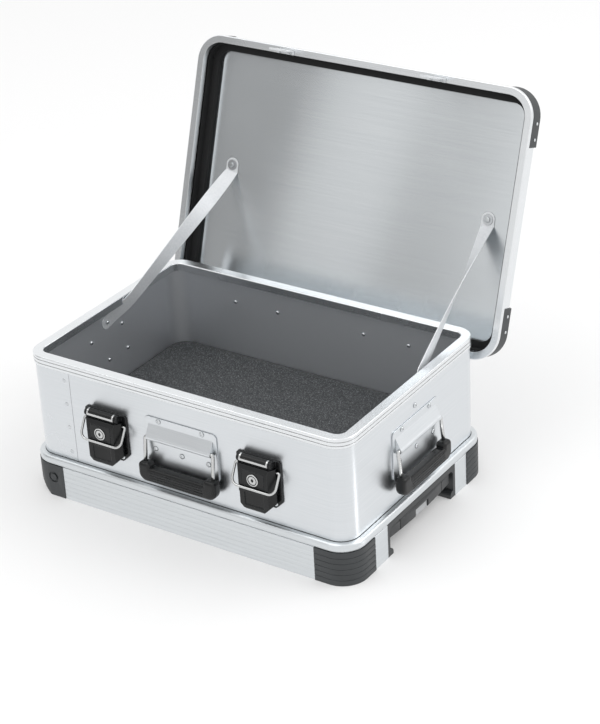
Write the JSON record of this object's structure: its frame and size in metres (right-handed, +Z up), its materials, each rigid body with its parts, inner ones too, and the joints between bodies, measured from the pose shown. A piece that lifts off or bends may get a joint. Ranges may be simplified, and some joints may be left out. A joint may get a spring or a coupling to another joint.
{
  "type": "aluminium case",
  "caption": "Open aluminium case with a hinged lid on straps, draw latches, drop handles, corner wheels and a telescopic pull handle.",
  "frame": {"origin": "centre of the case's footprint, on the floor it stands on", "axes": "+X toward the end with the pull handle, +Y toward the hinges, +Z up"},
  "size_m": [0.627, 0.5937, 0.5946],
  "materials": {
    "sheet_aluminium": "satin anodised sheet",
    "rim_aluminium": "satin anodised extrusion",
    "bright_steel": "bright zinc-plated steel",
    "polished_steel": "polished, nickel-plated",
    "black_plastic": "fine-grained injection-moulded nylon",
    "grey_plastic": "smooth injection-moulded nylon",
    "silver_plastic": "silver-coloured moulding",
    "black_rubber": "extruded foam rubber",
    "tyre_rubber": "moulded tread",
    "mat_foam": "dark speckled felt"
  },
  "bodies": {
    "case": {"body_shell": "sheet_aluminium", "body_rim": "rim_aluminium", "body_rivets": "bright_steel", "floor_mat": "mat_foam", "base_frame": "rim_aluminium", "base_beams": "sheet_aluminium", "handle_bezel": "grey_plastic", "pull_guides": "sheet_aluminium", "bumper_front": "black_plastic", "wheel_housing_front": "black_plastic", "axle_front": "bright_steel", "bumper_back": "black_plastic", "wheel_housing_back": "black_plastic", "axle_back": "bright_steel", "hinge_body_leaf_left": "bright_steel", "hinge_pin_left": "bright_steel", "latch_base_left": "black_plastic", "hinge_body_leaf_right": "bright_steel", "hinge_pin_right": "bright_steel", "latch_base_right": "black_plastic", "drop_plate_front": "rim_aluminium", "drop_plate_right": "rim_aluminium", "drop_plate_left": "rim_aluminium"},
    "lid": {"lid_frame": "rim_aluminium", "lid_panel": "sheet_aluminium", "lid_gasket": "black_rubber", "lid_corners": "black_plastic", "lid_rivets": "bright_steel", "lid_catch_left": "bright_steel", "hinge_lid_leaf_left": "bright_steel", "strap_left": "bright_steel", "lid_catch_right": "bright_steel", "hinge_lid_leaf_right": "bright_steel", "strap_right": "bright_steel"},
    "wheel_front": {"wheel_tyre_front": "tyre_rubber", "wheel_hub_front": "grey_plastic"},
    "wheel_back": {"wheel_tyre_back": "tyre_rubber", "wheel_hub_back": "grey_plastic"},
    "lever_left": {"latch_lever_left": "black_plastic", "latch_clip_left": "bright_steel", "latch_lock_left": "polished_steel"},
    "bail_left": {"latch_bail_left": "bright_steel"},
    "plug_left": {"latch_plug_left": "polished_steel"},
    "lever_right": {"latch_lever_right": "black_plastic", "latch_clip_right": "bright_steel", "latch_lock_right": "polished_steel"},
    "bail_right": {"latch_bail_right": "bright_steel"},
    "plug_right": {"latch_plug_right": "polished_steel"},
    "drop_front": {"drop_bail_front": "bright_steel", "drop_grip_front": "black_plastic"},
    "drop_right": {"drop_bail_right": "bright_steel", "drop_grip_right": "black_plastic"},
    "drop_left": {"drop_bail_left": "bright_steel", "drop_grip_left": "black_plastic"},
    "stage": {"pull_stage": "sheet_aluminium"},
    "pull": {"pull_tubes": "sheet_aluminium", "pull_grip": "grey_plastic"},
    "button": {"release_button": "silver_plastic"}
  },
  "joints": [
    {"name": "lid_hinge", "type": "hinge", "parent": "case", "child": "lid", "pos_m": [0, 0.1982, 0.203], "axis": [1, 0, 0], "range_deg": [0, 108.5], "deforming": ["strap_left", "strap_right"]},
    {"name": "lever_left_lift", "type": "hinge", "parent": "case", "child": "lever_left", "pos_m": [-0.141, -0.2033, 0.1775], "axis": [-1, 0, 0], "range_deg": [0, 50]},
    {"name": "bail_left_swing", "type": "hinge", "parent": "lever_left", "child": "bail_left", "pos_m": [-0.141, -0.1985, 0.164], "axis": [-1, 0, 0], "range_deg": [0, 128]},
    {"name": "plug_left_turn", "type": "hinge", "parent": "lever_left", "child": "plug_left", "pos_m": [-0.141, -0.2125, 0.149], "axis": [0, -1, 0], "range_deg": [0, 90]},
    {"name": "lever_right_lift", "type": "hinge", "parent": "case", "child": "lever_right", "pos_m": [0.141, -0.2033, 0.1775], "axis": [-1, 0, 0], "range_deg": [0, 50]},
    {"name": "bail_right_swing", "type": "hinge", "parent": "lever_right", "child": "bail_right", "pos_m": [0.141, -0.1985, 0.164], "axis": [-1, 0, 0], "range_deg": [0, 128]},
    {"name": "plug_right_turn", "type": "hinge", "parent": "lever_right", "child": "plug_right", "pos_m": [0.141, -0.2125, 0.149], "axis": [0, -1, 0], "range_deg": [0, 90]},
    {"name": "drop_front_lift", "type": "hinge", "parent": "case", "child": "drop_front", "pos_m": [0, -0.2001, 0.162], "axis": [-1, 0, 0], "range_deg": [0, 95]},
    {"name": "drop_right_lift", "type": "hinge", "parent": "case", "child": "drop_right", "pos_m": [0.2981, 0, 0.162], "axis": [0, -1, 0], "range_deg": [0, 95]},
    {"name": "drop_left_lift", "type": "hinge", "parent": "case", "child": "drop_left", "pos_m": [-0.2981, 0, 0.162], "axis": [0, 1, 0], "range_deg": [0, 95]},
    {"name": "wheel_front_roll", "type": "hinge", "parent": "case", "child": "wheel_front", "pos_m": [-0.255, -0.17, 0.0345], "axis": [0, 1, 0], "continuous": true},
    {"name": "wheel_back_roll", "type": "hinge", "parent": "case", "child": "wheel_back", "pos_m": [-0.255, 0.17, 0.0345], "axis": [0, 1, 0], "continuous": true},
    {"name": "stage_slide", "type": "slide", "parent": "case", "child": "stage", "axis": [1, 0, 0], "range_m": [0, 0.38]},
    {"name": "pull_slide", "type": "slide", "parent": "stage", "child": "pull", "axis": [1, 0, 0], "range_m": [0, 0.38]},
    {"name": "button_press", "type": "slide", "parent": "pull", "child": "button", "axis": [-1, 0, 0], "range_m": [0, 0.004], "stiffness_N_per_m": 400}
  ],
  "couplings": [
    {"joint": "stage_slide", "follows": "pull_slide", "ratio": 1}
  ]
}
